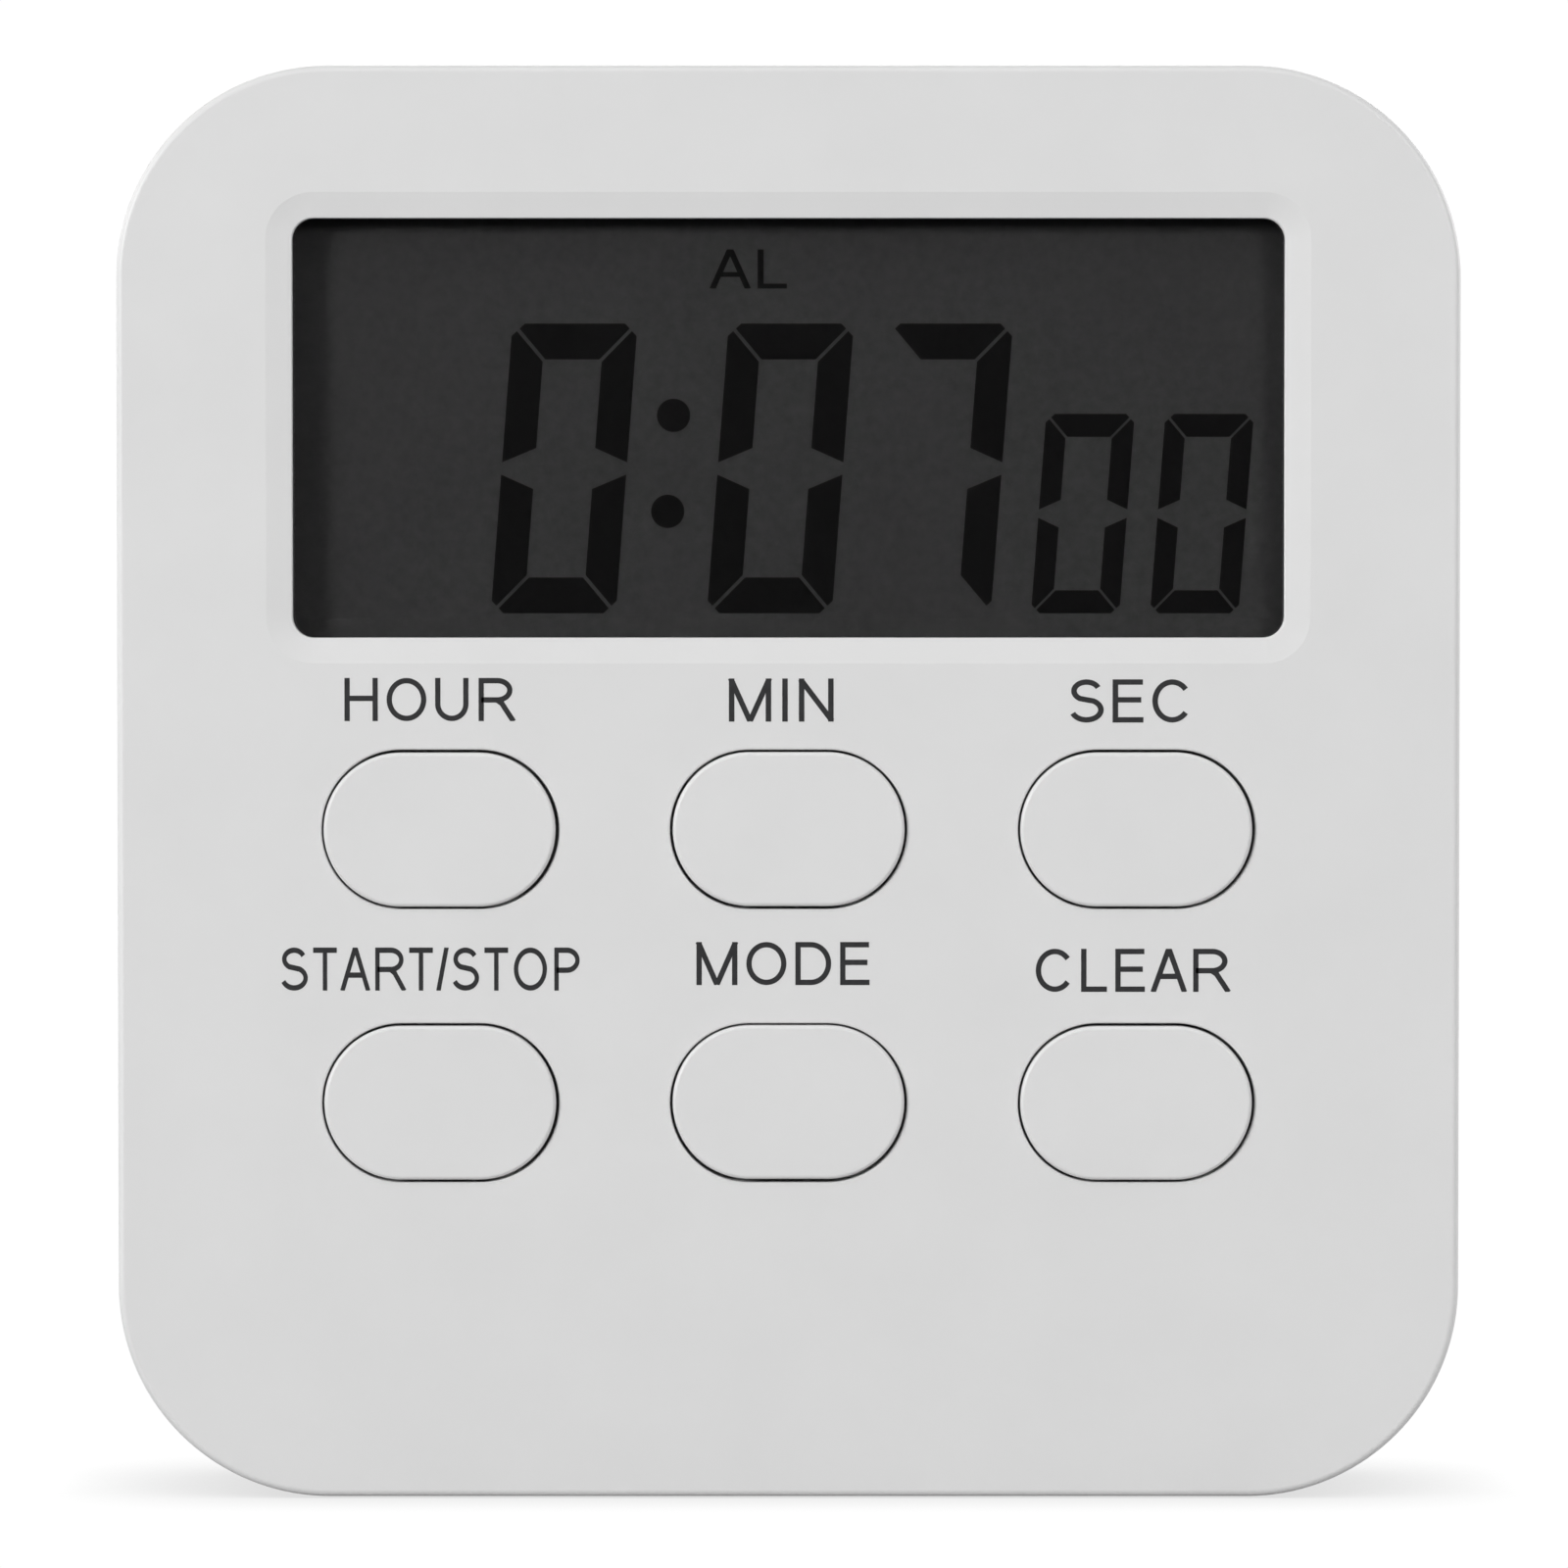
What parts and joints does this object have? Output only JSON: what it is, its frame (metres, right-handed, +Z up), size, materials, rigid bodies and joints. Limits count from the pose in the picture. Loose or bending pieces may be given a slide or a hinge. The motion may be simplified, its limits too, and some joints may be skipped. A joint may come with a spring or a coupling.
{
  "type": "kitchen timer",
  "caption": "Flat digital kitchen timer with a wide segment display, round-ended keys, a fold-out stand, back magnets and a sliding battery door.",
  "frame": {"origin": "middle of the flat foot that the timer stands on: x and y are centred on the case, z is 0 at the foot", "axes": "+Z up the face, +X to the right of someone reading the display, +Y from the face to the back"},
  "size_m": [0.075, 0.0163, 0.08],
  "materials": {
    "white_abs": "fine satin texture",
    "clear_acrylic": "polished, clear",
    "polariser_film": "dark film",
    "display_glass": "polished",
    "silicone": "matt",
    "conductive_rubber": "matt",
    "circuit_laminate": "solder mask",
    "black_epoxy": "gloss",
    "capacitor_sleeve": "shrink sleeve",
    "tinned_can": "tin plated",
    "plated_steel": "nickel plated",
    "magnet_nickel": "nickel plated",
    "sounder_brass": "rolled sheet",
    "sounder_ceramic": "silvered ceramic",
    "cell_jacket": "printed foil jacket",
    "red_insulation": "insulation",
    "black_insulation": "insulation"
  },
  "bodies": {
    "casing": {"front_shell": "white_abs", "rear_shell": "white_abs", "rubber_keypad": "silicone", "display_lens": "clear_acrylic", "lcd_front_polariser": "polariser_film", "lcd_front_glass": "display_glass", "lcd_rear_glass": "display_glass", "lcd_rear_polariser": "polariser_film", "lcd_holder": "white_abs", "zebra_strip": "conductive_rubber", "main_board": "circuit_laminate", "chip_encapsulant": "black_epoxy", "quartz_crystal": "tinned_can", "electrolytic_capacitor": "capacitor_sleeve", "boost_inductor": "black_epoxy", "drive_transistor": "black_epoxy", "tuning_resistor": "black_epoxy", "filter_capacitor": "black_epoxy", "sounder_disc": "sounder_brass", "sounder_ceramic": "sounder_ceramic", "aaa_cell": "cell_jacket", "negative_contact": "plated_steel", "positive_contact": "plated_steel", "battery_spring": "plated_steel", "positive_wire": "red_insulation", "negative_wire": "black_insulation", "sounder_wire_ceramic": "red_insulation", "sounder_wire_disc": "black_insulation", "magnet_left": "magnet_nickel", "magnet_right": "magnet_nickel", "board_screw_1": "plated_steel", "board_screw_2": "plated_steel", "board_screw_3": "plated_steel", "board_screw_4": "plated_steel", "case_screw_upper_left": "plated_steel", "case_screw_upper_right": "plated_steel", "case_screw_lower_left": "plated_steel", "case_screw_lower_right": "plated_steel"},
    "battery_door": {"battery_door": "white_abs"},
    "stand": {"kickstand": "white_abs"},
    "hour_key": {"hour_button": "white_abs", "hour_contact_pill": "conductive_rubber"},
    "min_key": {"min_button": "white_abs", "min_contact_pill": "conductive_rubber"},
    "sec_key": {"sec_button": "white_abs", "sec_contact_pill": "conductive_rubber"},
    "start_stop_key": {"start_stop_button": "white_abs", "start_stop_contact_pill": "conductive_rubber"},
    "mode_key": {"mode_button": "white_abs", "mode_contact_pill": "conductive_rubber"},
    "clear_key": {"clear_button": "white_abs", "clear_contact_pill": "conductive_rubber"}
  },
  "joints": [
    {"name": "hour_press", "type": "slide", "parent": "casing", "child": "hour_key", "axis": [0, 1, 0], "range_m": [0, 0.0008], "stiffness_N_per_m": 1500, "springref_m": -0.0002, "deforming": ["rubber_keypad"]},
    {"name": "min_press", "type": "slide", "parent": "casing", "child": "min_key", "axis": [0, 1, 0], "range_m": [0, 0.0008], "stiffness_N_per_m": 1500, "springref_m": -0.0002, "deforming": ["rubber_keypad"]},
    {"name": "sec_press", "type": "slide", "parent": "casing", "child": "sec_key", "axis": [0, 1, 0], "range_m": [0, 0.0008], "stiffness_N_per_m": 1500, "springref_m": -0.0002, "deforming": ["rubber_keypad"]},
    {"name": "start_stop_press", "type": "slide", "parent": "casing", "child": "start_stop_key", "axis": [0, 1, 0], "range_m": [0, 0.0008], "stiffness_N_per_m": 1500, "springref_m": -0.0002, "deforming": ["rubber_keypad"]},
    {"name": "mode_press", "type": "slide", "parent": "casing", "child": "mode_key", "axis": [0, 1, 0], "range_m": [0, 0.0008], "stiffness_N_per_m": 1500, "springref_m": -0.0002, "deforming": ["rubber_keypad"]},
    {"name": "clear_press", "type": "slide", "parent": "casing", "child": "clear_key", "axis": [0, 1, 0], "range_m": [0, 0.0008], "stiffness_N_per_m": 1500, "springref_m": -0.0002, "deforming": ["rubber_keypad"]},
    {"name": "battery_door_slide", "type": "slide", "parent": "casing", "child": "battery_door", "axis": [0, 0, -1], "range_m": [0, 0.016]},
    {"name": "stand_hinge", "type": "hinge", "parent": "casing", "child": "stand", "pos_m": [0, 0.0069, 0.0195], "axis": [-1, 0, 0], "range_deg": [0, 105]}
  ]
}
